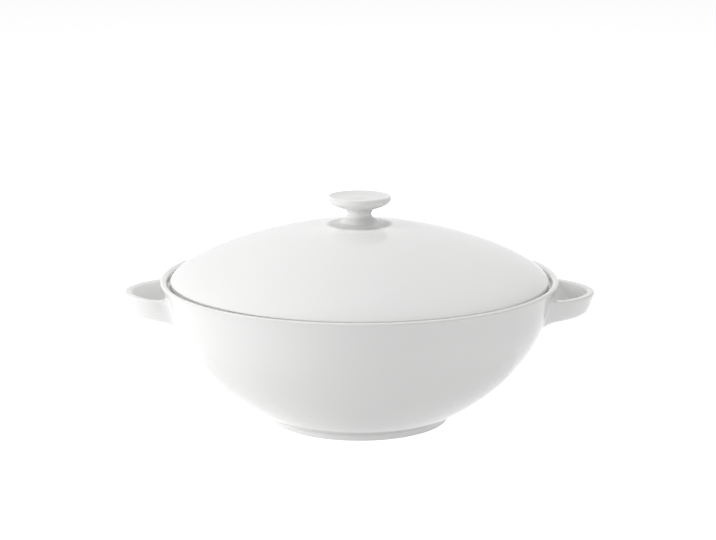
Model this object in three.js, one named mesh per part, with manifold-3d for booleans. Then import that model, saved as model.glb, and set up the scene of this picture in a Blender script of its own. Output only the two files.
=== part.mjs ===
// Soup tureen in white porcelain: a round bowl on a turned foot, two loop handles,
// and a domed lid that drops into a ledge inside the lip, with a dished knob.
// Millimetres, +Z up. The origin is the centre of the circle that the foot stands on.
// The handles lie along X.
import * as THREE from 'three';
import { mergeVertices } from 'three/addons/utils/BufferGeometryUtils.js';
import Module from 'manifold-3d';

// Bowl
const RIM_RADIUS = 129;
const BOWL_HEIGHT = 93.8;
const RIM_SLOPE = THREE.MathUtils.degToRad(69);
const RIM_RUN = 18.5;
const WALL = 4.8;
const WALL_AT_FOOT = 9;
const FLOOR_THICKNESS = 5.2;
const FLOOR_BLEND = 6.5;

// Foot ring
const FOOT_RADIUS = 58.5;
const FOOT_HEIGHT = 3.4;
const FOOT_WIDTH = 5;
const FOOT_RECESS = 2.8;
const FOOT_EDGE = 0.8;
const FOOT_SLOPE = THREE.MathUtils.degToRad(28.2);
const FOOT_RUN = 72.5;

// Lip and the ledge inside it that carries the lid
const LIP_OUTER_ROUND = 0.8;
const LIP_INNER_ROUND = 3.6;
const LEDGE_DEPTH = 4.3;
const LEDGE_WIDTH = 5.6;
const LEDGE_EDGE = 0.8;

// Lid
const LID_PLAY = 1.1;
const LID_HEIGHT = 40.85;
const LID_CROWN_RUN = 45.2;
const LID_WALL = 4.5;
const LID_EDGE_HEIGHT = 2.6;
const LID_EDGE_WIDTH = 6;
const LID_EDGE_ROUND = 1.9;
const LID_SHOULDER = 1.2;
const LID_SLOPE = THREE.MathUtils.degToRad(56);
const LID_SLOPE_RUN = 18.1;

// Knob, heights counted from the crown of the lid
const KNOB_HEIGHT = 16.5;
const KNOB_RADIUS = 20.5;
const KNOB_EDGE_HEIGHT = 2.2;
const KNOB_CREST_INSET = 0.9;
const KNOB_DISH = 2.4;
const KNOB_SHOULDER_HEIGHT = 8.6;
const KNOB_SHOULDER_RADIUS = 11.5;
const KNOB_NECK_HEIGHT = 4.7;
const KNOB_NECK_RADIUS = 7.7;
const KNOB_BASE_RADIUS = 12.6;

// Handles: a drafted band, so its plan is wider along the top edge than along the bottom edge
const HANDLE_DROP = 9.5;
const HANDLE_DEPTH = 15.7;
const HANDLE_WALL = 4.6;
const HANDLE_EDGE = 2.2;
const HANDLE_FILLET = 3.5;
const HANDLE_TOP_SPAN = 36.4;
const HANDLE_TOP_REACH = 24.6;
const HANDLE_TOP_SHOULDER = 17.5;
const HANDLE_TOP_NOSE = 15;
const HANDLE_BOTTOM_SPAN = 30.5;
const HANDLE_BOTTOM_REACH = 18.8;
const HANDLE_BOTTOM_SHOULDER = 6;
const HANDLE_BOTTOM_NOSE = 11.5;

// Slip joint between a stuck-on piece and its carrier, and the gap under the resting lid
const JOINT_GAP = 0.3;
const SEAT_GAP = 0.3;

// Facets round the axis, and steps along the outlines
const ROUND_FACETS = 64;
const KNOB_FACETS = 32;
const WALL_STEPS = 13;
const FLOOR_STEPS = 4;
const DOME_STEPS = 11;
const DOME_LOOKUP_STEPS = 60;
const KNOB_STEPS = 5;
const ROUND_STEPS = 3;
const EDGE_STEPS = 2;
const HANDLE_STATIONS = 13;
const STATION_CROWDING = 2.3;
const MERGE_DISTANCE = 1e-5;

// Heights and radii that follow from the sizes above
const LEDGE_HEIGHT = BOWL_HEIGHT - LEDGE_DEPTH;
const LIP_LEAN = Math.PI / 2 - RIM_SLOPE;
const LIP_CREST_RADIUS = RIM_RADIUS - LIP_OUTER_ROUND;
const LIP_INSIDE_RADIUS = LIP_CREST_RADIUS - LIP_INNER_ROUND * Math.cos(LIP_LEAN);
const LIP_INSIDE_DEPTH = LIP_INNER_ROUND * (1 - Math.sin(LIP_LEAN));
const LEDGE_OUTER_RADIUS = LIP_INSIDE_RADIUS - (LEDGE_DEPTH - LIP_INSIDE_DEPTH) * Math.tan(LIP_LEAN);
const LEDGE_INNER_RADIUS = LEDGE_OUTER_RADIUS - LEDGE_WIDTH;
const LID_RADIUS = LEDGE_OUTER_RADIUS - LID_PLAY;
const LID_BOTTOM = LEDGE_HEIGHT + SEAT_GAP;
const LID_TOP = LID_BOTTOM + LID_HEIGHT;
const HANDLE_TOP = BOWL_HEIGHT - HANDLE_DROP;
const HANDLE_BOTTOM = HANDLE_TOP - HANDLE_DEPTH;

const wasm = await Module();
wasm.setup();

// Outlines are lists of points (radius, height)
const point = (radius, height) => new THREE.Vector2(radius, height);

// The point a distance away from another one, at an angle above the radius
const step = (from, angle, distance) =>
  point(from.x + distance * Math.cos(angle), from.y + distance * Math.sin(angle));

const bezier = (start, startControl, endControl, end, steps) =>
  new THREE.CubicBezierCurve(start, startControl, endControl, end).getPoints(steps);

function arc(centre, radius, startAngle, endAngle, steps) {
  const points = [];
  for (let i = 0; i <= steps; i++) {
    points.push(step(centre, THREE.MathUtils.lerp(startAngle, endAngle, i / steps), radius));
  }
  return points;
}

// Moves each point of an open outline to its left by a thickness that may change along it
function offset(points, thicknessAt) {
  return points.map((p, i) => {
    const before = points[Math.max(i - 1, 0)];
    const after = points[Math.min(i + 1, points.length - 1)];
    const along = after.clone().sub(before).normalize();
    const thickness = thicknessAt(i / (points.length - 1));
    return point(p.x - along.y * thickness, p.y + along.x * thickness);
  });
}

// Turns an outline about Z; it starts and ends on the axis, with the body on its left
function turned(points, facets) {
  const outline = points.filter((p, i) => i === 0 || p.distanceTo(points[i - 1]) > MERGE_DISTANCE);
  return new THREE.LatheGeometry(outline, facets).rotateX(Math.PI / 2);
}

function solidOf(geometry) {
  const bare = geometry.clone();
  bare.deleteAttribute('normal');
  bare.deleteAttribute('uv');
  const merged = mergeVertices(bare, MERGE_DISTANCE);
  const { array } = merged.getAttribute('position');
  const triVerts = new Uint32Array(merged.getIndex().array);
  return new wasm.Manifold(new wasm.Mesh({ numProp: 3, vertProperties: new Float32Array(array), triVerts }));
}

function geometryOf(solid) {
  const mesh = solid.getMesh();
  const geometry = new THREE.BufferGeometry();
  geometry.setAttribute('position', new THREE.BufferAttribute(mesh.vertProperties, 3));
  geometry.setIndex(new THREE.BufferAttribute(mesh.triVerts, 1));
  geometry.computeVertexNormals();
  return geometry;
}

// Bowl: the outside wall sweeps up from the foot in one curve and ends at the round of the lip
function outsideWall() {
  const foot = point(FOOT_RADIUS, FOOT_HEIGHT);
  const lipCentre = point(LIP_CREST_RADIUS, BOWL_HEIGHT - LIP_OUTER_ROUND);
  const lip = step(lipCentre, -LIP_LEAN, LIP_OUTER_ROUND);
  return bezier(foot, step(foot, FOOT_SLOPE, FOOT_RUN), step(lip, RIM_SLOPE, -RIM_RUN), lip, WALL_STEPS);
}

// The inside wall thickens towards the foot and stops where it meets the drop under the ledge
function insideWall() {
  const thickness = (share) => THREE.MathUtils.lerp(WALL_AT_FOOT, WALL, Math.min(1, 2 * share));
  return offset(outsideWall(), thickness).filter((p) => p.x < LEDGE_INNER_RADIUS - LEDGE_EDGE);
}

function footOutline() {
  const innerRadius = FOOT_RADIUS - FOOT_WIDTH;
  return [
    point(0, FOOT_RECESS),
    point(innerRadius - FOOT_RECESS, FOOT_RECESS),
    point(innerRadius, 0),
    point(FOOT_RADIUS - FOOT_EDGE, 0),
    point(FOOT_RADIUS, FOOT_EDGE),
  ];
}

function lipOutline() {
  const outer = point(LIP_CREST_RADIUS, BOWL_HEIGHT - LIP_OUTER_ROUND);
  const inner = point(LIP_CREST_RADIUS, BOWL_HEIGHT - LIP_INNER_ROUND);
  const ledge = point(LEDGE_INNER_RADIUS + LEDGE_EDGE, LEDGE_HEIGHT - LEDGE_EDGE);
  return [
    ...arc(outer, LIP_OUTER_ROUND, -LIP_LEAN, Math.PI / 2, ROUND_STEPS),
    ...arc(inner, LIP_INNER_ROUND, Math.PI / 2, Math.PI - LIP_LEAN, ROUND_STEPS),
    point(LEDGE_OUTER_RADIUS, LEDGE_HEIGHT),
    ...arc(ledge, LEDGE_EDGE, Math.PI / 2, Math.PI, EDGE_STEPS),
  ];
}

function floorOutline(wallFoot, wallNext) {
  const middle = point(0, FOOT_RECESS + FLOOR_THICKNESS);
  const slope = Math.atan2(wallNext.y - wallFoot.y, wallNext.x - wallFoot.x);
  const flat = point(wallFoot.x / 2, middle.y);
  return bezier(wallFoot, step(wallFoot, slope, -FLOOR_BLEND), flat, middle, FLOOR_STEPS);
}

function bowl() {
  const inside = insideWall();
  return turned(
    [
      ...footOutline(),
      ...outsideWall(),
      ...lipOutline(),
      ...inside.toReversed(),
      ...floorOutline(inside[0], inside[1]),
    ],
    ROUND_FACETS,
  );
}

// Bowl filled solid and grown by the joint gap, which trims the roots of the handles
function bowlTrim() {
  const wall = offset(outsideWall(), () => -JOINT_GAP);
  return turned([point(0, wall[0].y), ...wall, point(0, wall.at(-1).y)], ROUND_FACETS);
}

// Lid: a dome that rolls over a round shoulder into the upright edge that drops inside the lip
function lidDome(steps) {
  const crown = point(0, LID_TOP);
  const centre = point(LID_RADIUS - LID_SHOULDER, LID_BOTTOM + LID_EDGE_HEIGHT);
  const shoulder = step(centre, Math.PI / 2 - LID_SLOPE, LID_SHOULDER);
  const slopeControl = step(shoulder, Math.PI - LID_SLOPE, LID_SLOPE_RUN);
  return bezier(crown, point(LID_CROWN_RUN, LID_TOP), slopeControl, shoulder, steps);
}

function lid() {
  const dome = lidDome(DOME_STEPS).toReversed();
  const shoulderCentre = point(LID_RADIUS - LID_SHOULDER, LID_BOTTOM + LID_EDGE_HEIGHT);
  const edgeCentre = point(LID_RADIUS - LID_EDGE_ROUND, LID_BOTTOM + LID_EDGE_ROUND);
  const innerRadius = LID_RADIUS - LID_EDGE_WIDTH;
  const hollow = offset(dome, () => LID_WALL).filter((p) => p.x < innerRadius - LID_EDGE_ROUND);
  hollow.at(-1).x = 0;
  return turned(
    [
      ...hollow.toReversed(),
      point(innerRadius, LID_BOTTOM + LID_EDGE_ROUND),
      point(innerRadius + LID_EDGE_ROUND, LID_BOTTOM),
      ...arc(edgeCentre, LID_EDGE_ROUND, -Math.PI / 2, 0, EDGE_STEPS),
      ...arc(shoulderCentre, LID_SHOULDER, 0, Math.PI / 2 - LID_SLOPE, ROUND_STEPS),
      ...dome,
    ],
    ROUND_FACETS,
  );
}

// Height of the lid's outside at a radius
function domeHeight(radius) {
  const dome = lidDome(DOME_LOOKUP_STEPS);
  const next = dome.findIndex((p) => p.x >= radius);
  const [inner, outer] = [dome[next - 1], dome[next]];
  return THREE.MathUtils.mapLinear(radius, inner.x, outer.x, inner.y, outer.y);
}

// Knob: a dished disc on a waisted neck that flares out on to the dome
function knob() {
  const up = (height) => LID_TOP + height;
  const curve = (...points) => bezier(...points, KNOB_STEPS);
  const base = point(KNOB_BASE_RADIUS, domeHeight(KNOB_BASE_RADIUS) + JOINT_GAP);
  const neck = point(KNOB_NECK_RADIUS, up(KNOB_NECK_HEIGHT));
  const shoulder = point(KNOB_SHOULDER_RADIUS, up(KNOB_SHOULDER_HEIGHT));
  const edge = point(KNOB_RADIUS, up(KNOB_HEIGHT - KNOB_EDGE_HEIGHT));
  const crest = point(KNOB_RADIUS - KNOB_CREST_INSET, up(KNOB_HEIGHT));
  const flare = (neck.y - base.y) / 2;
  const waist = (shoulder.y - neck.y) / 2;
  const bulge = (edge.y - shoulder.y) / 2;
  const underside = Math.atan2(edge.y - shoulder.y, 2 * (edge.x - shoulder.x));
  const bottom = crest.y - KNOB_DISH;
  return turned(
    [
      point(0, LID_TOP + JOINT_GAP),
      point(KNOB_BASE_RADIUS / 2, domeHeight(KNOB_BASE_RADIUS / 2) + JOINT_GAP),
      ...curve(base, point(base.x - flare, base.y + flare), point(neck.x, neck.y - flare), neck),
      ...curve(neck, point(neck.x, neck.y + waist), step(shoulder, underside, -waist), shoulder),
      ...curve(shoulder, step(shoulder, underside, bulge), point(edge.x, edge.y - bulge), edge),
      ...curve(edge, point(edge.x, (edge.y + crest.y) / 2), point((edge.x + crest.x) / 2, crest.y), crest),
      ...curve(crest, point(crest.x - KNOB_DISH, bottom), point(crest.x / 2, bottom), point(0, bottom)),
    ],
    KNOB_FACETS,
  );
}

// Radius of the bowl's outside at a height
function wallRadius(height) {
  const wall = outsideWall();
  const next = THREE.MathUtils.clamp(wall.findIndex((p) => p.y >= height), 1, wall.length - 1);
  const [low, high] = [wall[next - 1], wall[next]];
  return THREE.MathUtils.mapLinear(height, low.y, high.y, low.x, high.x);
}

// Outer plan of a handle along one of its edges, from the wall to the middle of the loop
function handlePlan(height, span, reach, shoulder, nose) {
  const root = point(Math.sqrt(wallRadius(height) ** 2 - span ** 2), span);
  const tip = point(RIM_RADIUS + reach, 0);
  return new THREE.CubicBezierCurve(root, point(root.x + shoulder, span), point(tip.x, nose), tip);
}

// Corners of the band's section: depth in from the outer face, rise from the bottom edge, and
// the direction that a corner grows in at the root
function bandSection() {
  const corners = [
    [HANDLE_EDGE, HANDLE_EDGE, Math.PI],
    [HANDLE_WALL - HANDLE_EDGE, HANDLE_EDGE, Math.PI * 1.5],
    [HANDLE_WALL - HANDLE_EDGE, HANDLE_DEPTH - HANDLE_EDGE, Math.PI * 2],
    [HANDLE_EDGE, HANDLE_DEPTH - HANDLE_EDGE, Math.PI * 2.5],
  ];
  return corners.flatMap(([depth, rise, angle]) =>
    arc(point(depth, rise), HANDLE_EDGE, angle, angle + Math.PI / 2, ROUND_STEPS).map((p) => ({
      depth: p.x,
      rise: p.y,
      grow: p.clone().sub(point(depth, rise)).normalize(),
    })),
  );
}

// How far a root fillet stands off the band at a distance from the wall
function filletStandoff(distance) {
  const reach = HANDLE_FILLET - THREE.MathUtils.clamp(distance, 0, HANDLE_FILLET);
  return HANDLE_FILLET - Math.sqrt(HANDLE_FILLET ** 2 - reach ** 2);
}

// Outer edges of the band at each station, from inside the wall at -Y round to +Y
function handleStations() {
  const top = handlePlan(HANDLE_TOP, HANDLE_TOP_SPAN, HANDLE_TOP_REACH, HANDLE_TOP_SHOULDER, HANDLE_TOP_NOSE);
  const bottom = handlePlan(
    HANDLE_BOTTOM,
    HANDLE_BOTTOM_SPAN,
    HANDLE_BOTTOM_REACH,
    HANDLE_BOTTOM_SHOULDER,
    HANDLE_BOTTOM_NOSE,
  );
  const at = (share) => {
    const along = top.getTangent(share).add(bottom.getTangent(share)).normalize();
    return { top: top.getPoint(share), bottom: bottom.getPoint(share), out: point(-along.y, along.x) };
  };
  const root = at(0);
  const sink = point(WALL, 0);
  const sunk = { top: root.top.clone().sub(sink), bottom: root.bottom.clone().sub(sink), out: root.out };
  const half = [sunk, root];
  for (let i = 2; i <= HANDLE_STATIONS; i++) half.push(at((i / HANDLE_STATIONS) ** STATION_CROWDING));
  const flip = (p) => point(p.x, -p.y);
  const mirrored = half.map((s) => ({ top: flip(s.top), bottom: flip(s.bottom), out: flip(s.out) }));
  return [...mirrored, ...half.slice(0, -1).toReversed()];
}

// Handle at +X: the section is carried round the loop, flared at the roots, and trimmed to the wall
function handle() {
  const section = bandSection();
  const stations = handleStations();
  const positions = [];
  for (const { top, bottom, out } of stations) {
    const place = ({ depth, rise }) => {
      const outer = bottom.clone().lerp(top, rise / HANDLE_DEPTH).addScaledVector(out, -depth);
      return new THREE.Vector3(outer.x, outer.y, HANDLE_BOTTOM + rise);
    };
    for (const corner of section) {
      const p = place(corner);
      const standoff = filletStandoff(Math.hypot(p.x, p.y) - wallRadius(p.z));
      p.x -= out.x * corner.grow.x * standoff;
      p.y -= out.y * corner.grow.x * standoff;
      p.z += corner.grow.y * standoff;
      positions.push(...p.toArray());
    }
  }
  const count = section.length;
  const index = [];
  for (let s = 0; s < stations.length - 1; s++) {
    for (let i = 0; i < count; i++) {
      const next = (i + 1) % count;
      const [a, b, c, d] = [s * count + i, s * count + next, (s + 1) * count + next, (s + 1) * count + i];
      index.push(a, b, c, a, c, d);
    }
  }
  const last = (stations.length - 1) * count;
  for (let i = 1; i < count - 1; i++) index.push(0, i + 1, i, last, last + i, last + i + 1);
  const band = new THREE.BufferGeometry();
  band.setAttribute('position', new THREE.Float32BufferAttribute(positions, 3));
  band.setIndex(index);
  return geometryOf(solidOf(band).subtract(solidOf(bowlTrim())));
}

function porcelain(name, geometry) {
  const material = new THREE.MeshStandardMaterial({ color: 0xf2f2f0, roughness: 0.12, metalness: 0 });
  const mesh = new THREE.Mesh(geometry, material);
  mesh.name = name;
  return mesh;
}

const tureen = new THREE.Group();
tureen.add(porcelain('bowl', bowl()));

const handleGeometry = handle();
for (const [name, turn] of [['handle_right', 0], ['handle_left', Math.PI]]) {
  const mesh = porcelain(name, handleGeometry);
  mesh.rotation.z = turn;
  tureen.add(mesh);
}

const cover = new THREE.Group();
cover.add(porcelain('lid', lid()), porcelain('knob', knob()));
tureen.add(cover);

export default tureen;
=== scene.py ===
"""Soup tureen in white porcelain: a bowl with two loop handles and a domed lid with a dished knob.

Metres, +Z up. The origin is the middle of the circle that the foot stands on, and the handles
lie along X. Each piece repeats the sizes of the solid that it stands for, turned in finer steps
and with the rounds and fillets that a thick glaze leaves.
"""

import logging
import math
from collections.abc import Sequence
from dataclasses import dataclass, field
from enum import Enum

import bmesh
import bpy
import numpy as np
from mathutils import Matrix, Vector


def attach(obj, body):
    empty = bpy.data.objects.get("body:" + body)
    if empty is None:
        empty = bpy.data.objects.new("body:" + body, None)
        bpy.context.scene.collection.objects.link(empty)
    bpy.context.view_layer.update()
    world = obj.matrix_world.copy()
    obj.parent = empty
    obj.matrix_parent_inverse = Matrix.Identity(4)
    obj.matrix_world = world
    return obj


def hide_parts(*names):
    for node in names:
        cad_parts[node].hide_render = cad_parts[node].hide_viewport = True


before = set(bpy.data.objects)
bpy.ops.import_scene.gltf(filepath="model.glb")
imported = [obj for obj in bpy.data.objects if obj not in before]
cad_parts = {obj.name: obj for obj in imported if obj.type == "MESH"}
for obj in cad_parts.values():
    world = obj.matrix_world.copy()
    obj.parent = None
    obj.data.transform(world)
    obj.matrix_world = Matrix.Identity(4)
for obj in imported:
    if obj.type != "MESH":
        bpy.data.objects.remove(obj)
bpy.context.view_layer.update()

Colour = tuple[float, float, float]
Point = tuple[float, float]
Socket = bpy.types.NodeSocket

LOG = logging.getLogger("tureen")
GLAZE_DEPTH = "glaze_depth"
TINY = 1e-7


class Body(Enum):
    """Bodies of the part that move on their own."""

    TUREEN = "tureen"
    COVER = "cover"


class Side(Enum):
    """Where a handle sits, as its turn about the axis of the bowl."""

    RIGHT = 0.0
    LEFT = math.pi


class Finish(Enum):
    """Surface of a piece, as the number of its material on the mesh."""

    GLAZED = 0
    BARE = 1


def step(start: Point, angle: float, distance: float) -> Point:
    """Point at a distance from another one, at an angle above the radius."""
    return (start[0] + distance * math.cos(angle), start[1] + distance * math.sin(angle))


def heading(start: Point, end: Point) -> float:
    """Angle above the radius of the way from one point to another."""
    return math.atan2(end[1] - start[1], end[0] - start[0])


@dataclass(frozen=True)
class Curve:
    """Cubic curve through a plane, given by its ends and their two pulls."""

    start: Point
    first: Point
    second: Point
    end: Point

    def at(self, shares: np.ndarray) -> np.ndarray:
        """Gives points on the curve, carried on straight before its start.

        Args:
            shares: How far along the curve each point is, 0 to 1, or below 0 before the start.

        Returns:
            One row of two coordinates for each share.
        """
        along = np.maximum(shares, 0.0)[:, None]
        back = 1.0 - along
        start, first, second, end = (np.array(p) for p in (self.start, self.first, self.second, self.end))
        points = back**3 * start + 3 * back**2 * along * first + 3 * back * along**2 * second + along**3 * end
        return points + 3 * np.minimum(shares, 0.0)[:, None] * (first - start)

    def tangent(self, shares: np.ndarray) -> np.ndarray:
        """Gives the directions of the curve.

        Args:
            shares: How far along the curve each direction is taken.

        Returns:
            One row with a direction of length 1 for each share.
        """
        along = np.clip(shares, 0.0, 1.0)[:, None]
        back = 1.0 - along
        start, first, second, end = (np.array(p) for p in (self.start, self.first, self.second, self.end))
        way = back**2 * (first - start) + 2 * back * along * (second - first) + along**2 * (end - second)
        return way / np.linalg.norm(way, axis=1, keepdims=True)

    def points(self, steps: int) -> list[Point]:
        """Evenly stepped points from the start to the end."""
        return [tuple(p) for p in self.at(np.linspace(0.0, 1.0, steps + 1))]


def offset(points: Sequence[Point], thicknesses: Sequence[float]) -> list[Point]:
    """Moves each point of an open path to its left.

    Args:
        points: The path.
        thicknesses: How far each of its points moves.

    Returns:
        The moved path.
    """
    path = np.array(points)
    along = np.gradient(path, axis=0)
    along /= np.linalg.norm(along, axis=1, keepdims=True)
    left = np.stack([-along[:, 1], along[:, 0]], axis=1)
    return [tuple(p) for p in path + left * np.array(thicknesses)[:, None]]


class Outline:
    """Half section of a turned piece: points (radius, height) with the clay on their left."""

    SUPPORT = 0.0005
    STRIDE = 0.004
    ARC_STEP = math.radians(9)
    SHARP_RADIUS = 0.0012
    SPREAD = 0.0008

    def __init__(self, start: Point) -> None:
        """Starts the outline at a point."""
        self.points: list[Point] = [start]
        self.finishes: list[Finish] = []

    def through(self, points: Sequence[Point], finish: Finish = Finish.GLAZED) -> "Outline":
        """Carries the outline on through points.

        Args:
            points: The points, in order; any that repeats the last one is left out.
            finish: Surface of the stretch.

        Returns:
            The outline itself.
        """
        for point in points:
            if math.dist(point, self.points[-1]) > TINY:
                self.points.append((float(point[0]), float(point[1])))
                self.finishes.append(finish)
        return self

    def line(self, end: Point, finish: Finish = Finish.GLAZED) -> "Outline":
        """Draws a straight stretch, with a support point close to both of its ends.

        Args:
            end: Where it stops.
            finish: Surface of the stretch.

        Returns:
            The outline itself.
        """
        start = self.points[-1]
        length = math.dist(start, end)
        if length < 4 * self.SUPPORT:
            return self.through([end], finish)
        strides = max(1, math.ceil((length - 2 * self.SUPPORT) / self.STRIDE))
        inner = np.linspace(self.SUPPORT, length - self.SUPPORT, strides + 1)
        way = heading(start, end)
        return self.through([step(start, way, d) for d in inner] + [end], finish)

    def arc(self, centre: Point, radius: float, start: float, end: float) -> "Outline":
        """Draws a round.

        Args:
            centre: Centre of the round.
            radius: Its radius.
            start: Angle of its first point about the centre.
            end: Angle of its last point.

        Returns:
            The outline itself.
        """
        steps = max(2, math.ceil(abs(end - start) / self.ARC_STEP))
        return self.through([step(centre, angle, radius) for angle in np.linspace(start, end, steps + 1)])

    def corner(self, at: Point, onward: Point, radius: float, finish: Finish = Finish.GLAZED) -> "Outline":
        """Runs straight to a corner and rounds it.

        Args:
            at: Where the corner would be if it were sharp.
            onward: A point that the outline makes for after the corner.
            radius: Radius of the round.
            finish: Surface of the straight stretch; the round is glazed.

        Returns:
            The outline itself.
        """
        inward = heading(self.points[-1], at)
        turn = math.remainder(heading(at, onward) - inward, 2 * math.pi)
        side = math.copysign(math.pi / 2, turn)
        self.line(step(at, inward, -radius * math.tan(abs(turn) / 2)), finish)
        centre = step(self.points[-1], inward + side, radius)
        return self.arc(centre, radius, inward - side, inward - side + turn)

    def glaze_depths(self) -> np.ndarray:
        """Tells where glaze pools and where it runs thin.

        Returns:
            For each point 1 in a tight hollow, 0 where the outline is straight, -1 on a sharp edge.
        """
        path = np.array(self.points)
        ways = np.diff(path, axis=0)
        lengths = np.hypot(ways[:, 0], ways[:, 1])
        turns = np.diff(np.unwrap(np.arctan2(ways[:, 1], ways[:, 0])))
        bends = np.zeros(len(path))
        bends[1:-1] = turns / (0.5 * (lengths[:-1] + lengths[1:]))
        depths = np.clip(-bends * self.SHARP_RADIUS, -1.0, 1.0)
        places = np.concatenate([[0.0], np.cumsum(lengths)])
        shares = np.exp(-(((places[:, None] - places[None, :]) / self.SPREAD) ** 2))
        shares *= np.gradient(places)[None, :]
        return shares @ depths / shares.sum(axis=1)


@dataclass
class RingMesh:
    """Mesh of closed rings of points, each joined to the next one.

    Attributes:
        rings: Points of each ring; a ring of one point is a pole.
        depths: Glaze depth of each ring's points.
        finishes: Surface of the faces between each ring and the next one.
    """

    rings: list[np.ndarray]
    depths: list[np.ndarray]
    finishes: list[Finish]

    @classmethod
    def turned(cls, outline: Outline, facets: int) -> "RingMesh":
        """Turns an outline about the axis.

        Args:
            outline: It starts and ends on the axis.
            facets: Faces round the axis.

        Returns:
            The turned mesh.
        """
        turns = np.linspace(0.0, 2 * math.pi, facets, endpoint=False)
        circle = np.stack([np.cos(turns), np.sin(turns)], axis=1)
        rings = []
        for radius, height in outline.points:
            plan = radius * circle if radius > TINY else np.zeros((1, 2))
            rings.append(np.column_stack([plan, np.full(len(plan), height)]))
        depths = [np.full(len(ring), depth) for ring, depth in zip(rings, outline.glaze_depths())]
        return cls(rings, depths, outline.finishes)

    def to_object(self, name: str, materials: Sequence[bpy.types.Material]) -> bpy.types.Object:
        """Makes the mesh object.

        Args:
            name: Name of the piece.
            materials: Materials in the order of the finishes.

        Returns:
            The object, linked to the scene.
        """
        form = bmesh.new()
        rows = [[form.verts.new(point) for point in ring] for ring in self.rings]
        for low, high, finish in zip(rows, rows[1:], self.finishes):
            count = max(len(low), len(high))
            for i in range(count):
                j = (i + 1) % count
                loop = [low[i % len(low)], low[j % len(low)], high[j % len(high)], high[i % len(high)]]
                face = form.faces.new(list(dict.fromkeys(loop)))
                face.material_index = finish.value
        for row in (rows[0], rows[-1]):
            if len(row) > 1:
                form.faces.new(row)
        for face in form.faces:
            face.smooth = True
        bmesh.ops.recalc_face_normals(form, faces=form.faces)
        mesh = bpy.data.meshes.new(name)
        form.to_mesh(mesh)
        form.free()
        for material in materials:
            mesh.materials.append(material)
        depth = mesh.attributes.new(GLAZE_DEPTH, "FLOAT", "POINT")
        depth.data.foreach_set("value", np.concatenate(self.depths).astype(np.float32))
        piece = bpy.data.objects.new(name, mesh)
        bpy.context.scene.collection.objects.link(piece)
        return piece


def set_down(piece: bpy.types.Object, node: str, body: Body) -> bpy.types.Object:
    """Puts a piece in the place of a solid.

    Args:
        piece: The dressed piece.
        node: The solid that it stands for.
        body: The body that it moves with.

    Returns:
        The piece.
    """
    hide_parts(node)
    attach(piece, body.value)
    return piece


class NodeBench:
    """Small helper that lays out the nodes of one material or world."""

    def __init__(self, owner: bpy.types.Material | bpy.types.World) -> None:
        """Clears the owner's nodes and keeps its tree."""
        owner.use_nodes = True
        self.tree = owner.node_tree
        self.tree.nodes.clear()

    def add(self, kind: str, **values: object) -> bpy.types.Node:
        """Adds a node.

        Args:
            kind: Blender's name for the node.
            values: Settings of the node, or values of its inputs by name with _ for a space.

        Returns:
            The node.
        """
        node = self.tree.nodes.new(kind)
        for name, value in values.items():
            socket = node.inputs.get(name.replace("_", " ").title())
            if socket is None:
                setattr(node, name, value)
            else:
                socket.default_value = value
        return node

    def join(self, source: Socket, target: Socket) -> None:
        """Links an output to an input."""
        self.tree.links.new(source, target)

    def sum_of(self, first: Socket, second: Socket, operation: str = "ADD") -> Socket:
        """Joins two numbers with a sum.

        Args:
            first: First number.
            second: Second number.
            operation: Kind of sum.

        Returns:
            The result.
        """
        node = self.add("ShaderNodeMath", operation=operation)
        self.join(first, node.inputs[0])
        self.join(second, node.inputs[1])
        return node.outputs[0]

    def spread(self, source: Socket, low: float, high: float, start: float = 0.0, end: float = 1.0) -> Socket:
        """Maps a number from one range to another.

        Args:
            source: The number.
            low: Result at the start of its range.
            high: Result at the end of its range.
            start: Start of its range.
            end: End of its range.

        Returns:
            The mapped number.
        """
        node = self.add("ShaderNodeMapRange")
        self.join(source, node.inputs["Value"])
        for name, value in (("From Min", start), ("From Max", end), ("To Min", low), ("To Max", high)):
            node.inputs[name].default_value = value
        return node.outputs["Result"]

    def noise(self, place: Socket, scale: float, detail: float) -> Socket:
        """Cloudy noise over the piece.

        Args:
            place: Coordinates, in metres.
            scale: Clouds to the metre.
            detail: How many finer layers it has.

        Returns:
            The noise, 0 to 1.
        """
        node = self.add("ShaderNodeTexNoise")
        node.inputs["Scale"].default_value = scale
        node.inputs["Detail"].default_value = detail
        self.join(place, node.inputs["Vector"])
        return node.outputs["Fac"]

    def bump(self, height: Socket, distance: float, under: Socket | None = None) -> Socket:
        """Turns heights into a relief.

        Args:
            height: Height, 0 to 1.
            distance: Height of 1, in metres.
            under: Relief that this one lies on.

        Returns:
            The relief's normal.
        """
        node = self.add("ShaderNodeBump")
        node.inputs["Distance"].default_value = distance
        self.join(height, node.inputs["Height"])
        if under is not None:
            self.join(under, node.inputs["Normal"])
        return node.outputs["Normal"]

    def mix(self, share: Socket, first: Socket, second: Colour) -> Socket:
        """Mixes a colour into another one.

        Args:
            share: How much of the second colour is mixed in.
            first: First colour.
            second: Second colour.

        Returns:
            The mixed colour.
        """
        node = self.add("ShaderNodeMix", data_type="RGBA")
        self.join(share, node.inputs["Factor"])
        self.join(first, node.inputs[6])
        node.inputs[7].default_value = (*second, 1.0)
        return node.outputs[2]

    def blend(self, share: Socket, first: Socket, second: Socket) -> Socket:
        """Blends two shaders.

        Args:
            share: How much of the second shader shows.
            first: First shader.
            second: Second shader.

        Returns:
            The blended shader.
        """
        node = self.add("ShaderNodeMixShader")
        for source, target in zip((share, first, second), node.inputs):
            self.join(source, target)
        return node.outputs[0]


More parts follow.
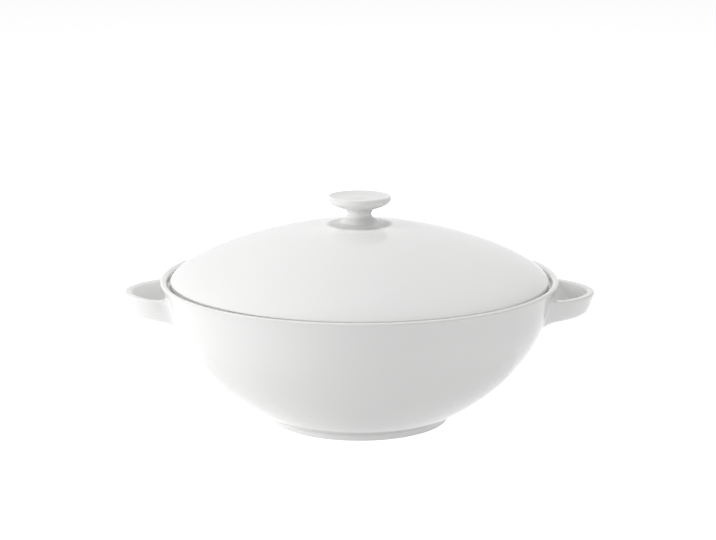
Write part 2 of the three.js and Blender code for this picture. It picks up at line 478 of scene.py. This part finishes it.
@dataclass(frozen=True)
class Glaze:
    """Clear gloss glaze over white porcelain: thin on edges, pooled in hollows, faintly wavy."""

    name: str = "white_gloss_glaze"
    thin: Colour = (0.820, 0.812, 0.795)
    full: Colour = (0.820, 0.820, 0.815)
    pooled: Colour = (0.806, 0.811, 0.808)
    speck: Colour = (0.52, 0.49, 0.44)
    drift: float = 0.5
    drift_scale: float = 14.0
    wave_scale: float = 45.0
    wave_height: float = 0.00003
    peel_scale: float = 520.0
    peel_height: float = 0.0000015
    gloss_low: float = 0.035
    gloss_high: float = 0.07
    speck_scale: float = 55.0
    speck_size: float = 0.016
    speck_share: float = 0.82
    refraction: float = 1.52

    def material(self) -> bpy.types.Material:
        """Makes the material.

        Returns:
            The glaze, with its depth read from the mesh.
        """
        material = bpy.data.materials.new(self.name)
        bench = NodeBench(material)
        place = bench.add("ShaderNodeTexCoord").outputs["Object"]
        depth = bench.add("ShaderNodeAttribute", attribute_name=GLAZE_DEPTH).outputs["Fac"]
        drift = bench.spread(bench.noise(place, self.drift_scale, 3.0), -self.drift, self.drift)
        shade = bench.spread(bench.sum_of(depth, drift), 0.0, 1.0, -1.0, 1.0)
        ramp = bench.add("ShaderNodeValToRGB")
        bench.join(shade, ramp.inputs["Fac"])
        ramp.color_ramp.elements[0].color = (*self.thin, 1.0)
        ramp.color_ramp.elements[1].color = (*self.pooled, 1.0)
        ramp.color_ramp.elements.new(0.5).color = (*self.full, 1.0)
        shader = bench.add("ShaderNodeBsdfPrincipled")
        shader.inputs["IOR"].default_value = self.refraction
        colour = bench.mix(self.specks(bench, place), ramp.outputs["Color"], self.speck)
        bench.join(colour, shader.inputs["Base Color"])
        peel = bench.noise(place, self.peel_scale, 2.0)
        bench.join(bench.spread(peel, self.gloss_low, self.gloss_high), shader.inputs["Roughness"])
        waves = bench.bump(bench.noise(place, self.wave_scale, 1.0), self.wave_height)
        bench.join(bench.bump(peel, self.peel_height, waves), shader.inputs["Normal"])
        bench.join(shader.outputs["BSDF"], bench.add("ShaderNodeOutputMaterial").inputs["Surface"])
        return material

    def specks(self, bench: NodeBench, place: Socket) -> Socket:
        """Scatters pin-head specks of iron in the glaze.

        Args:
            bench: Nodes of the material.
            place: Coordinates, in metres.

        Returns:
            How strongly a speck shows.
        """
        cells = bench.add("ShaderNodeTexVoronoi")
        cells.inputs["Scale"].default_value = self.speck_scale
        bench.join(place, cells.inputs["Vector"])
        dots = bench.spread(cells.outputs["Distance"], 1.0, 0.0, 0.4 * self.speck_size, self.speck_size)
        chance = bench.add("ShaderNodeSeparateColor")
        bench.join(cells.outputs["Color"], chance.inputs["Color"])
        chosen = bench.spread(chance.outputs["Red"], 0.0, 0.45, self.speck_share, 1.0)
        return bench.sum_of(dots, chosen, "MULTIPLY")


@dataclass(frozen=True)
class BarePorcelain:
    """Unglazed porcelain, ground smooth where a piece stands or seats."""

    name: str = "bare_porcelain"
    clean: Colour = (0.74, 0.725, 0.69)
    rubbed: Colour = (0.62, 0.60, 0.56)
    cloud_scale: float = 60.0
    grain_scale: float = 3800.0
    grain_height: float = 0.00002
    matt_low: float = 0.42
    matt_high: float = 0.62

    def material(self) -> bpy.types.Material:
        """Makes the material.

        Returns:
            The bare porcelain, grained and a little rubbed.
        """
        material = bpy.data.materials.new(self.name)
        bench = NodeBench(material)
        place = bench.add("ShaderNodeTexCoord").outputs["Object"]
        ramp = bench.add("ShaderNodeValToRGB")
        bench.join(bench.noise(place, self.cloud_scale, 6.0), ramp.inputs["Fac"])
        ramp.color_ramp.elements[0].position = 0.35
        ramp.color_ramp.elements[0].color = (*self.rubbed, 1.0)
        ramp.color_ramp.elements[1].position = 0.6
        ramp.color_ramp.elements[1].color = (*self.clean, 1.0)
        grain = bench.noise(place, self.grain_scale, 2.0)
        shader = bench.add("ShaderNodeBsdfPrincipled")
        bench.join(ramp.outputs["Color"], shader.inputs["Base Color"])
        bench.join(bench.spread(grain, self.matt_low, self.matt_high), shader.inputs["Roughness"])
        bench.join(bench.bump(grain, self.grain_height), shader.inputs["Normal"])
        bench.join(shader.outputs["BSDF"], bench.add("ShaderNodeOutputMaterial").inputs["Surface"])
        return material


@dataclass
class Bowl:
    """Round bowl on a turned foot, with a ledge inside its lip that carries the lid."""

    rim_radius: float = 0.129
    height: float = 0.0938
    rim_slope: float = math.radians(69)
    rim_run: float = 0.0185
    wall: float = 0.0048
    wall_at_foot: float = 0.009
    floor: float = 0.0052
    floor_blend: float = 0.0065
    foot_radius: float = 0.0585
    foot_height: float = 0.0034
    foot_width: float = 0.005
    foot_recess: float = 0.0028
    foot_edge: float = 0.0006
    foot_slope: float = math.radians(28.2)
    foot_run: float = 0.0725
    foot_crease: float = 0.0036
    lip_outer_round: float = 0.0014
    lip_inner_round: float = 0.00295
    ledge_depth: float = 0.0043
    ledge_width: float = 0.0056
    ledge_edge: float = 0.0008
    ledge_blend: float = 0.012
    facets: int = 240
    wall_steps: int = 110
    floor_steps: int = 30

    @property
    def lip_lean(self) -> float:
        """Angle of the lip from upright."""
        return math.pi / 2 - self.rim_slope

    @property
    def crest_radius(self) -> float:
        """Radius of the top of the lip, where its two rounds meet."""
        return self.rim_radius - self.lip_outer_round

    @property
    def ledge_height(self) -> float:
        """Height of the ledge above the table."""
        return self.height - self.ledge_depth

    @property
    def ledge_outer_radius(self) -> float:
        """Radius of the ledge where it meets the lip."""
        inside = self.crest_radius - self.lip_inner_round * math.cos(self.lip_lean)
        depth = self.lip_inner_round * (1 - math.sin(self.lip_lean))
        return inside - (self.ledge_depth - depth) * math.tan(self.lip_lean)

    @property
    def ledge_inner_radius(self) -> float:
        """Radius of the drop under the ledge."""
        return self.ledge_outer_radius - self.ledge_width

    @property
    def lip_outer(self) -> Point:
        """Centre of the round on the outside of the lip."""
        return (self.crest_radius, self.height - self.lip_outer_round)

    @property
    def lip_inner(self) -> Point:
        """Centre of the round on the inside of the lip."""
        return (self.crest_radius, self.height - self.lip_inner_round)

    def outside(self) -> list[Point]:
        """Draws the outside of the wall, from the foot up to the round of the lip.

        Returns:
            The path.
        """
        foot = (self.foot_radius, self.foot_height)
        lip = step(self.lip_outer, -self.lip_lean, self.lip_outer_round)
        low_pull = step(foot, self.foot_slope, self.foot_run)
        high_pull = step(lip, self.rim_slope, -self.rim_run)
        return Curve(foot, low_pull, high_pull, lip).points(self.wall_steps)

    def inside(self) -> list[Point]:
        """Draws the inside of the wall, from under the ledge down to the floor.

        Returns:
            The path, which eases from the upright drop under the ledge into the wall's curve.
        """
        outside = self.outside()
        shares = np.linspace(0.0, 2.0, len(outside))
        thicknesses = self.wall_at_foot + (self.wall - self.wall_at_foot) * np.minimum(shares, 1.0)
        drop = (self.ledge_inner_radius, self.ledge_height - self.ledge_edge)
        low = drop[1] - self.ledge_blend
        wall = [p for p in offset(outside, thicknesses) if p[1] < low and p[0] < drop[0]]
        wall.reverse()
        pull = self.ledge_blend / 2
        lean = heading(wall[1], wall[0])
        ease = Curve(drop, (drop[0], drop[1] - pull), step(wall[0], lean, pull), wall[0])
        return ease.points(self.floor_steps)[:-1] + wall

    def outline(self) -> Outline:
        """Draws the whole half section, from under the foot over the lip to the floor inside.

        Returns:
            The outline.
        """
        outside = self.outside()
        inner_foot = self.foot_radius - self.foot_width
        recess = (inner_foot - self.foot_recess, self.foot_recess)
        stand = ((inner_foot, 0.0), (self.foot_radius, 0.0))
        outline = Outline((0.0, self.foot_recess))
        outline.corner(recess, stand[0], self.foot_crease)
        outline.corner(stand[0], stand[1], self.foot_edge)
        outline.corner(stand[1], outside[0], self.foot_edge, Finish.BARE)
        outline.corner(outside[0], outside[1], self.foot_crease)
        clear = self.foot_radius + 2 * self.foot_crease
        outline.through([p for p in outside if p[0] > clear])
        outline.arc(self.lip_outer, self.lip_outer_round, -self.lip_lean, math.pi / 2)
        outline.arc(self.lip_inner, self.lip_inner_round, math.pi / 2, math.pi - self.lip_lean)
        ledge = (self.ledge_outer_radius, self.ledge_height)
        edge = (self.ledge_inner_radius + self.ledge_edge, self.ledge_height - self.ledge_edge)
        outline.corner(ledge, (0.0, self.ledge_height), self.ledge_edge)
        outline.line((edge[0], self.ledge_height), Finish.BARE)
        outline.arc(edge, self.ledge_edge, math.pi / 2, math.pi)
        inside = self.inside()
        outline.through(inside)
        low = inside[-1]
        middle = (0.0, self.foot_recess + self.floor)
        pull = step(low, heading(low, inside[-2]), -self.floor_blend)
        hollow = Curve(low, pull, (low[0] / 2, middle[1]), middle)
        return outline.through(hollow.points(self.floor_steps))

    def wall_at(self, heights: np.ndarray) -> tuple[np.ndarray, np.ndarray]:
        """Finds the outside of the wall.

        Args:
            heights: Heights above the table.

        Returns:
            The radius at each height, and how fast the radius grows with height.
        """
        path = np.array(self.outside())
        growth = np.gradient(path[:, 0], path[:, 1])
        return np.interp(heights, path[:, 1], path[:, 0]), np.interp(heights, path[:, 1], growth)

    def build(self, materials: Sequence[bpy.types.Material]) -> bpy.types.Object:
        """Builds and dresses the bowl.

        Args:
            materials: Materials in the order of the finishes.

        Returns:
            The bowl.
        """
        piece = RingMesh.turned(self.outline(), self.facets).to_object("porcelain_bowl", materials)
        return set_down(piece, "bowl", Body.TUREEN)


@dataclass(frozen=True)
class HandlePlan:
    """Outer plan of a handle along its top or its bottom edge."""

    span: float
    reach: float
    shoulder: float
    nose: float

    def curve(self, root_radius: float, rim_radius: float) -> Curve:
        """Draws the plan from the wall to the middle of the loop.

        Args:
            root_radius: Radius of the wall at the height of the edge.
            rim_radius: Radius of the rim, from which the reach counts.

        Returns:
            The plan.
        """
        root = (math.sqrt(root_radius**2 - self.span**2), self.span)
        tip = rim_radius + self.reach
        return Curve(root, (root[0] + self.shoulder, self.span), (tip, self.nose), (tip, 0.0))


@dataclass
class LoopHandle:
    """Drafted band bent into a loop, with roots that flare out on to the wall of the bowl."""

    bowl: Bowl
    drop: float = 0.0088
    depth: float = 0.0164
    wall: float = 0.0046
    nose_gain: float = 0.12
    bulge: float = 0.0004
    outer_top_round: float = 0.0017
    inner_top_round: float = 0.0014
    inner_low_round: float = 0.0014
    outer_low_round: float = 0.0031
    fillet: float = 0.0062
    flare_up: float = 0.5
    flare_down: float = 0.75
    overlap: float = 0.0005
    sink: float = 0.0008
    top: HandlePlan = HandlePlan(0.0364, 0.0246, 0.0175, 0.015)
    bottom: HandlePlan = HandlePlan(0.0305, 0.0188, 0.006, 0.0115)
    stations: int = 56
    crowding: float = 1.3
    fillet_steps: int = 14
    round_steps: int = 8
    face_steps: int = 10
    solver_steps: int = 40
    section: np.ndarray = field(init=False)
    curves: tuple[Curve, Curve] = field(init=False)

    def __post_init__(self) -> None:
        """Works out the section of the band and the plans of its two edges."""
        high = self.bowl.height - self.drop
        self.section = self.band_section()
        radii, _ = self.bowl.wall_at(np.array([high, high - self.depth]))
        self.curves = (
            self.top.curve(radii[0], self.bowl.rim_radius),
            self.bottom.curve(radii[1], self.bowl.rim_radius),
        )

    def band_section(self) -> np.ndarray:
        """Draws the section of the band, round from the outer face by way of the bottom edge.

        Returns:
            Rows of depth behind the outer face, rise above the bottom edge, and the outward
            direction in these two.
        """
        low_out, low_in = self.outer_low_round, self.inner_low_round
        top_out, top_in = self.outer_top_round, self.inner_top_round
        corners = (
            (low_out, low_out, low_out, math.pi),
            (self.wall - low_in, low_in, low_in, 1.5 * math.pi),
            (self.wall - top_in, self.depth - top_in, top_in, 2 * math.pi),
            (top_out, self.depth - top_out, top_out, 2.5 * math.pi),
        )
        rows = []
        for depth, rise, radius, start in corners:
            for angle in np.linspace(start, start + math.pi / 2, self.round_steps + 1):
                out = (math.cos(angle), math.sin(angle))
                rows.append((depth + radius * out[0], rise + radius * out[1], *out))
        rows += self.face(rows[-1], rows[0])
        inner = 2 * (self.round_steps + 1)
        rows[inner:inner] = self.face(rows[inner - 1], rows[inner])
        section = np.array(rows)
        outer = section[:, 2] < -0.999
        share = np.clip(section[:, 1] / self.depth, 0.0, 1.0)
        section[:, 0] -= self.bulge * np.sin(math.pi * share) * outer
        return section

    def face(self, start: tuple[float, ...], end: tuple[float, ...]) -> list[tuple[float, ...]]:
        """Points on a flat face of the section, between the ends of its two rounds."""
        shares = np.linspace(0.0, 1.0, self.face_steps + 1)[1:-1]
        return [tuple((1 - s) * np.array(start) + s * np.array(end)) for s in shares]

    def band(self, shares: np.ndarray) -> tuple[np.ndarray, np.ndarray]:
        """Carries the section along the loop, before its roots are flared.

        Args:
            shares: For each point of the section how far along the half loop it is, from the wall.

        Returns:
            The points, and the outward directions of the section there.
        """
        depth, rise, grow_depth, grow_rise = self.section.T
        high, low = self.curves
        up = (rise / self.depth)[:, None]
        outer = up * high.at(shares) + (1 - up) * low.at(shares)
        along = high.tangent(shares) + low.tangent(shares)
        along /= np.linalg.norm(along, axis=1, keepdims=True)
        out = np.stack([-along[:, 1], along[:, 0]], axis=1)
        base = self.bowl.height - self.drop - self.depth
        thick = depth * (1 + self.nose_gain * np.clip(shares, 0.0, 1.0) ** 3)
        points = np.column_stack([outer - out * thick[:, None], base + rise])
        lift = np.where(grow_rise > 0, self.flare_up, self.flare_down)
        return points, np.column_stack([-out * grow_depth[:, None], grow_rise * lift])

    def wall_gap(self, points: np.ndarray) -> tuple[np.ndarray, np.ndarray]:
        """Measures how far points stand off the wall of the bowl.

        Args:
            points: The points.

        Returns:
            The distance of each point, and the wall's outward direction there.
        """
        radii = np.hypot(points[:, 0], points[:, 1])
        wall, growth = self.bowl.wall_at(points[:, 2])
        lean = 1.0 / np.sqrt(1.0 + growth**2)
        normal = np.column_stack([points[:, :2] / radii[:, None] * lean[:, None], -growth * lean])
        return (radii - wall) * lean, normal

    def shares_at(self, gap: float) -> np.ndarray:
        """Finds where each line of the band stands a distance off the wall.

        Args:
            gap: The distance.

        Returns:
            How far along the half loop that is for each point of the section.
        """
        low = np.full(len(self.section), -0.6)
        high = np.full(len(self.section), 0.6)
        for _ in range(self.solver_steps):
            middle = (low + high) / 2
            short = self.wall_gap(self.band(middle)[0])[0] < gap
            low = np.where(short, middle, low)
            high = np.where(short, high, middle)
        return (low + high) / 2

    def root_ring(self, gap: float, flare: float) -> np.ndarray:
        """Makes a ring of the root, grown outward on to the wall.

        Args:
            gap: How far the ring stands off the wall.
            flare: How far it grows.

        Returns:
            The points of the ring.
        """
        points, grow = self.band(self.shares_at(gap))
        points = points + grow * flare
        for _ in range(3):
            off, normal = self.wall_gap(points)
            points = points + (gap - off)[:, None] * normal
        return points

    def half_loop(self) -> tuple[list[np.ndarray], list[np.ndarray]]:
        """Makes the rings from inside the wall to the middle of the loop.

        Returns:
            The rings, and the glaze depths of their points.
        """
        rings = [
            self.root_ring(-self.sink, self.fillet),
            self.root_ring(-self.overlap / 10, self.fillet + self.overlap),
        ]
        pools = [0.0, 0.0]
        for turn in np.linspace(math.pi / 2, 0.0, self.fillet_steps, endpoint=False):
            rings.append(self.root_ring(self.fillet * (1 - math.sin(turn)), self.fillet * (1 - math.cos(turn))))
            pools.append(math.sin(turn) ** 2 * (1 - turn / math.pi))
        start = self.shares_at(self.fillet)
        for share in np.linspace(0.0, 1.0, self.stations + 1) ** self.crowding:
            rings.append(self.band(start + (1.0 - start) * share)[0])
            pools.append(0.0)
        flat = np.isclose(np.abs(self.section[:, 2:]).max(axis=1), 1.0)
        edges = np.where(flat, 0.0, -0.4)
        return rings, [pool + (1 - pool) * edges for pool in pools]

    def build(self, side: Side, materials: Sequence[bpy.types.Material]) -> bpy.types.Object:
        """Builds and dresses one handle.

        Args:
            side: Which handle it is.
            materials: Materials in the order of the finishes.

        Returns:
            The handle.
        """
        half, depths = self.half_loop()
        mirror = np.array([1.0, -1.0, 1.0])
        rings = half + [ring * mirror for ring in half[-2::-1]]
        turn = np.array([math.cos(side.value), math.cos(side.value), 1.0])
        turned = [ring * turn for ring in rings]
        mesh = RingMesh(turned, depths + depths[-2::-1], [Finish.GLAZED] * (len(rings) - 1))
        name = f"handle_{side.name.lower()}"
        return set_down(mesh.to_object(f"porcelain_{name}", materials), name, Body.TUREEN)


@dataclass
class Lid:
    """Domed lid whose upright edge drops inside the lip and seats on the ledge."""

    bowl: Bowl
    play: float = 0.0011
    seat_gap: float = 0.0003
    height: float = 0.04085
    crown_run: float = 0.0452
    wall: float = 0.0045
    edge_height: float = 0.003
    edge_width: float = 0.006
    edge_round: float = 0.0019
    shoulder: float = 0.0012
    slope: float = math.radians(56)
    slope_run: float = 0.0181
    hollow_blend: float = 0.006
    facets: int = 240
    dome_steps: int = 120
    blend_steps: int = 16

    @property
    def radius(self) -> float:
        """Radius of the upright edge."""
        return self.bowl.ledge_outer_radius - self.play

    @property
    def bottom(self) -> float:
        """Height of the seat."""
        return self.bowl.ledge_height + self.seat_gap

    @property
    def top(self) -> float:
        """Height of the crown of the dome."""
        return self.bottom + self.height

    @property
    def shoulder_centre(self) -> Point:
        """Centre of the round between the dome and the upright edge."""
        return (self.radius - self.shoulder, self.bottom + self.edge_height)

    def dome(self) -> list[Point]:
        """Draws the outside of the dome, from the shoulder up to the crown.

        Returns:
            The path.
        """
        shoulder = step(self.shoulder_centre, math.pi / 2 - self.slope, self.shoulder)
        pull = step(shoulder, math.pi - self.slope, self.slope_run)
        return Curve(shoulder, pull, (self.crown_run, self.top), (0.0, self.top)).points(self.dome_steps)

    def height_at(self, radius: float) -> float:
        """Height of the dome's outside at a radius."""
        dome = np.array(self.dome())[::-1]
        return float(np.interp(radius, dome[:, 0], dome[:, 1]))

    def slope_at(self, radius: float) -> float:
        """Angle of the dome's outside above the radius, at a radius."""
        reach = self.radius / self.dome_steps
        return math.atan2(self.height_at(radius + reach) - self.height_at(radius - reach), 2 * reach)

    def hollow(self) -> list[Point]:
        """Draws the underside, from the crown out and down to the seat.

        Returns:
            The path, which eases from the dome into the upright inside of the edge.
        """
        inner = self.radius - self.edge_width
        dome = offset(self.dome(), [self.wall] * (self.dome_steps + 1))[::-1]
        dome = [(0.0, dome[0][1])] + [p for p in dome[1:] if p[0] < inner - self.hollow_blend]
        drop = (inner, self.bottom + self.edge_round)
        high_pull = step(dome[-1], heading(dome[-2], dome[-1]), self.hollow_blend)
        ease = Curve(dome[-1], high_pull, (inner, drop[1] + self.edge_height / 2), drop)
        return dome + ease.points(self.blend_steps)[1:]

    def outline(self) -> Outline:
        """Draws the whole half section, from under the crown round the edge to the top.

        Returns:
            The outline.
        """
        hollow = self.hollow()
        inner = (self.radius - self.edge_width + self.edge_round, self.bottom + self.edge_round)
        outer = (self.radius - self.edge_round, self.bottom + self.edge_round)
        outline = Outline(hollow[0]).through(hollow[1:])
        outline.arc(inner, self.edge_round, math.pi, 1.5 * math.pi)
        outline.line((outer[0], self.bottom), Finish.BARE)
        outline.arc(outer, self.edge_round, -math.pi / 2, 0.0)
        outline.line((self.radius, self.shoulder_centre[1]))
        outline.arc(self.shoulder_centre, self.shoulder, 0.0, math.pi / 2 - self.slope)
        return outline.through(self.dome())

    def build(self, materials: Sequence[bpy.types.Material]) -> bpy.types.Object:
        """Builds and dresses the lid.

        Args:
            materials: Materials in the order of the finishes.

        Returns:
            The lid.
        """
        piece = RingMesh.turned(self.outline(), self.facets).to_object("porcelain_lid", materials)
        return set_down(piece, "lid", Body.COVER)


@dataclass
class Knob:
    """Dished disc on a waisted neck that flares out on to the crown of the lid."""

    lid: Lid
    height: float = 0.0165
    radius: float = 0.0205
    edge_height: float = 0.0022
    crest_inset: float = 0.0009
    dish: float = 0.0032
    shoulder_height: float = 0.0086
    shoulder_radius: float = 0.0115
    neck_height: float = 0.0047
    neck_radius: float = 0.0077
    base_radius: float = 0.0126
    base_crease: float = 0.0009
    sink: float = 0.001
    facets: int = 128
    curve_steps: int = 22

    def base_outline(self) -> Outline:
        """Draws the underside, sunk in the dome, and the crease that the glaze fills at the base.

        Returns:
            The outline as far as the start of the flare.
        """
        base = (self.base_radius, self.lid.height_at(self.base_radius))
        dome = self.lid.slope_at(self.base_radius)
        brim = step(base, dome, 2 * self.base_crease)
        outline = Outline((0.0, self.lid.top - self.sink))
        outline.line((base[0], base[1] - self.sink))
        outline.line(step(brim, -math.pi / 2, self.base_crease / 20))
        return outline.corner(base, step(base, 0.75 * math.pi, self.neck_radius), self.base_crease)

    def outline(self) -> Outline:
        """Draws the whole half section, from the base up the neck and over the crest to the dish.

        Returns:
            The outline.
        """
        top = self.lid.top
        outline = self.base_outline()
        base = outline.points[-1]
        neck = (self.neck_radius, top + self.neck_height)
        shoulder = (self.shoulder_radius, top + self.shoulder_height)
        edge = (self.radius, top + self.height - self.edge_height)
        crest = (self.radius - self.crest_inset, top + self.height)
        flare = (neck[1] - base[1]) / 2
        waist = (shoulder[1] - neck[1]) / 2
        bulge = (edge[1] - shoulder[1]) / 2
        lean = math.atan2(edge[1] - shoulder[1], 2 * (edge[0] - shoulder[0]))
        floor = crest[1] - self.dish
        curves = (
            Curve(base, (base[0] - flare, base[1] + flare), (neck[0], neck[1] - flare), neck),
            Curve(neck, (neck[0], neck[1] + waist), step(shoulder, lean, -waist), shoulder),
            Curve(shoulder, step(shoulder, lean, bulge), (edge[0], edge[1] - bulge), edge),
            Curve(edge, (edge[0], (edge[1] + crest[1]) / 2), ((edge[0] + crest[0]) / 2, crest[1]), crest),
            Curve(crest, (crest[0] - self.dish, floor), (crest[0] / 2, floor), (0.0, floor)),
        )
        for curve in curves:
            outline.through(curve.points(self.curve_steps))
        return outline

    def build(self, materials: Sequence[bpy.types.Material]) -> bpy.types.Object:
        """Builds and dresses the knob.

        Args:
            materials: Materials in the order of the finishes.

        Returns:
            The knob.
        """
        piece = RingMesh.turned(self.outline(), self.facets).to_object("porcelain_knob", materials)
        return set_down(piece, "knob", Body.COVER)


@dataclass(frozen=True)
class SoftBox:
    """Soft lamp, turned towards the tureen; the glaze mirrors the white surroundings and not the lamp."""

    name: str
    azimuth: float
    elevation: float
    distance: float
    width: float
    length: float
    power: float

    def build(self, target: Vector) -> bpy.types.Object:
        """Hangs the lamp.

        Args:
            target: The point that it faces.

        Returns:
            The lamp.
        """
        lamp = bpy.data.lights.new(self.name, "AREA")
        lamp.shape = "RECTANGLE"
        lamp.size = self.width
        lamp.size_y = self.length
        lamp.energy = self.power
        turn, rise = math.radians(self.azimuth), math.radians(self.elevation)
        way = Vector((math.sin(turn) * math.cos(rise), -math.cos(turn) * math.cos(rise), math.sin(rise)))
        box = bpy.data.objects.new(self.name, lamp)
        box.location = target + self.distance * way
        box.rotation_euler = (-way).to_track_quat("-Z", "Y").to_euler()
        box.visible_camera = False
        box.visible_glossy = False
        bpy.context.scene.collection.objects.link(box)
        return box


@dataclass
class Studio:
    """White sweep, soft lamps and the camera at the photograph's angle."""

    target_height: float = 0.06
    floor_half: float = 7.0
    floor_gap: float = 0.0001
    floor_colour: Colour = (0.4, 0.4, 0.4)
    floor_glow: float = 0.95
    floor_shade: Colour = (0.45, 0.45, 0.45)
    floor_light: float = 0.32
    ambient: float = 0.02
    image_width: float = 716.0
    camera_distance: float = 1.2373
    camera_rise: float = math.radians(12.47)
    camera_focus: float = 0.09376
    focal_pixels: float = 1900.0
    drop_pixels: float = 6.2
    right_pixels: float = 1.42
    sensor_width: float = 36.0
    lamps: tuple[SoftBox, ...] = (
        SoftBox("lamp_over", 180.0, 78.0, 1.9, 0.35, 0.35, 19.2),
        SoftBox("lamp_left_low", -82.0, 4.0, 1.9, 1.1, 0.22, 21.0),
        SoftBox("lamp_left_high", -72.0, 46.0, 1.9, 0.7, 0.7, 7.8),
        SoftBox("lamp_right", 45.0, 18.0, 1.9, 0.7, 0.7, 6.4),
        SoftBox("lamp_right_high", 70.0, 50.0, 1.9, 0.7, 0.7, 4.0),
        SoftBox("lamp_front", -10.0, 6.0, 1.9, 1.2, 0.3, 5.6),
    )

    def build(self) -> None:
        """Builds the sweep, the lamps, the surroundings and the camera."""
        self.build_floor()
        self.build_surroundings()
        for lamp in self.lamps:
            lamp.build(Vector((0.0, 0.0, self.target_height)))
        self.build_camera()

    @staticmethod
    def seen(bench: NodeBench) -> Socket:
        """Tells the rays that show the backdrop: straight to the camera, by gloss or through glass.

        Args:
            bench: Nodes of the floor or the surroundings.

        Returns:
            1 for such a ray, 0 for any other.
        """
        path = bench.add("ShaderNodeLightPath")
        gloss = bench.sum_of(path.outputs["Is Camera Ray"], path.outputs["Is Glossy Ray"], "MAXIMUM")
        return bench.sum_of(gloss, path.outputs["Is Transmission Ray"], "MAXIMUM")

    @staticmethod
    def lit(bench: NodeBench, colour: Colour, glow: float) -> Socket:
        """Makes a matt surface that also glows.

        Args:
            bench: Nodes of the floor.
            colour: Colour of the surface.
            glow: Strength of its own light.

        Returns:
            The shader.
        """
        both = bench.add("ShaderNodeAddShader")
        bench.join(bench.add("ShaderNodeBsdfDiffuse", color=(*colour, 1.0)).outputs[0], both.inputs[0])
        bench.join(bench.add("ShaderNodeEmission", strength=glow).outputs[0], both.inputs[1])
        return both.outputs[0]

    def floor_material(self) -> bpy.types.Material:
        """Makes the floor's material: a light table that looks white and is clear from beneath.

        Returns:
            The material, which keeps a faint shadow of the tureen.
        """
        material = bpy.data.materials.new("studio_white")
        bench = NodeBench(material)
        table = self.lit(bench, self.floor_colour, self.floor_light)
        shown = self.lit(bench, self.floor_shade, self.floor_glow)
        top = bench.blend(self.seen(bench), table, shown)
        beneath = bench.add("ShaderNodeNewGeometry").outputs["Backfacing"]
        surface = bench.blend(beneath, top, bench.add("ShaderNodeBsdfTransparent").outputs[0])
        bench.join(surface, bench.add("ShaderNodeOutputMaterial").inputs["Surface"])
        material.cycles.emission_sampling = "NONE"
        return material

    def build_floor(self) -> None:
        """Lays the floor, just clear of the foot."""
        form = bmesh.new()
        bmesh.ops.create_grid(form, x_segments=1, y_segments=1, size=self.floor_half)
        mesh = bpy.data.meshes.new("studio_floor")
        form.to_mesh(mesh)
        form.free()
        mesh.materials.append(self.floor_material())
        floor = bpy.data.objects.new("studio_floor", mesh)
        floor.location.z = -self.floor_gap
        bpy.context.scene.collection.objects.link(floor)

    def build_surroundings(self) -> None:
        """Makes the surroundings: a plain soft light that looks white."""
        world = bpy.data.worlds.new("studio_surroundings")
        bpy.context.scene.world = world
        bench = NodeBench(world)
        soft = bench.add("ShaderNodeBackground", strength=self.ambient, color=(1.0, 1.0, 1.0, 1.0))
        white = bench.add("ShaderNodeBackground", strength=1.0, color=(1.0, 1.0, 1.0, 1.0))
        surface = bench.blend(self.seen(bench), soft.outputs[0], white.outputs[0])
        bench.join(surface, bench.add("ShaderNodeOutputWorld").inputs["Surface"])

    def build_camera(self) -> None:
        """Sets up the camera, a little above the rim and in line with the middle of the front."""
        lens = bpy.data.cameras.new("camera")
        lens.sensor_fit = "HORIZONTAL"
        lens.sensor_width = self.sensor_width
        lens.lens = self.sensor_width * self.focal_pixels / self.image_width
        lens.shift_x = -self.right_pixels / self.image_width
        camera = bpy.data.objects.new("camera", lens)
        rise = self.camera_rise
        camera.location = (
            0.0,
            -self.camera_distance * math.cos(rise),
            self.camera_focus + self.camera_distance * math.sin(rise),
        )
        tilt = rise - math.atan(self.drop_pixels / self.focal_pixels)
        camera.rotation_euler = (math.pi / 2 - tilt, 0.0, 0.0)
        bpy.context.scene.collection.objects.link(camera)
        bpy.context.scene.camera = camera


def main() -> None:
    """Builds the tureen piece by piece, then the studio round it."""
    logging.basicConfig(level=logging.INFO, format="%(name)s: %(message)s")
    bpy.context.scene.view_settings.view_transform = "Standard"
    materials = [Glaze().material(), BarePorcelain().material()]
    bowl = Bowl()
    handle = LoopHandle(bowl)
    lid = Lid(bowl)
    pieces = [
        bowl.build(materials),
        handle.build(Side.RIGHT, materials),
        handle.build(Side.LEFT, materials),
        lid.build(materials),
        Knob(lid).build(materials),
    ]
    for piece in pieces:
        LOG.info("%s has %d faces", piece.name, len(piece.data.polygons))
    Studio().build()


if __name__ == "__main__":
    main()
